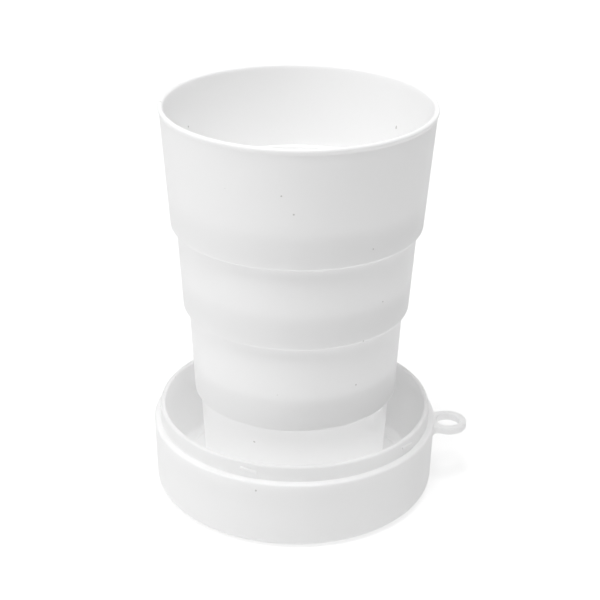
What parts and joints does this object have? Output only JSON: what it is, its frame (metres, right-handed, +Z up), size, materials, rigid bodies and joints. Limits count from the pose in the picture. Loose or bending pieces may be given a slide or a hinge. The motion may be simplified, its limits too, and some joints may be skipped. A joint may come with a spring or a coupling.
{
  "type": "collapsible travel cup",
  "caption": "Telescoping cup of tapering rings on a fixed bottom cup, standing in a round storage tray with a lugged neck for a lid and a flat hanging eyelet.",
  "frame": {"origin": "the cup's axis at the flat underside of the tray, on the surface that it stands on", "axes": "+Z up along the cup's axis, out of the mouth; +X from the axis towards the eyelet"},
  "size_m": [0.0825, 0.0738, 0.1037],
  "materials": {
    "tray_plastic": "satin white polypropylene, moulded",
    "cup_plastic": "satin white polypropylene, moulded, thin and slightly translucent"
  },
  "bodies": {
    "tray": {"storage_tray": "tray_plastic", "bottom_cup": "cup_plastic"},
    "lower_ring": {"lower_ring": "cup_plastic"},
    "middle_ring": {"middle_ring": "cup_plastic"},
    "top_ring": {"top_ring": "cup_plastic"}
  },
  "joints": [
    {"name": "lower_ring_slide", "type": "slide", "parent": "tray", "child": "lower_ring", "axis": [0, 0, -1], "range_m": [0, 0.02515]},
    {"name": "middle_ring_slide", "type": "slide", "parent": "lower_ring", "child": "middle_ring", "axis": [0, 0, -1], "range_m": [0, 0.0237]},
    {"name": "top_ring_slide", "type": "slide", "parent": "middle_ring", "child": "top_ring", "axis": [0, 0, -1], "range_m": [0, 0.022]}
  ]
}
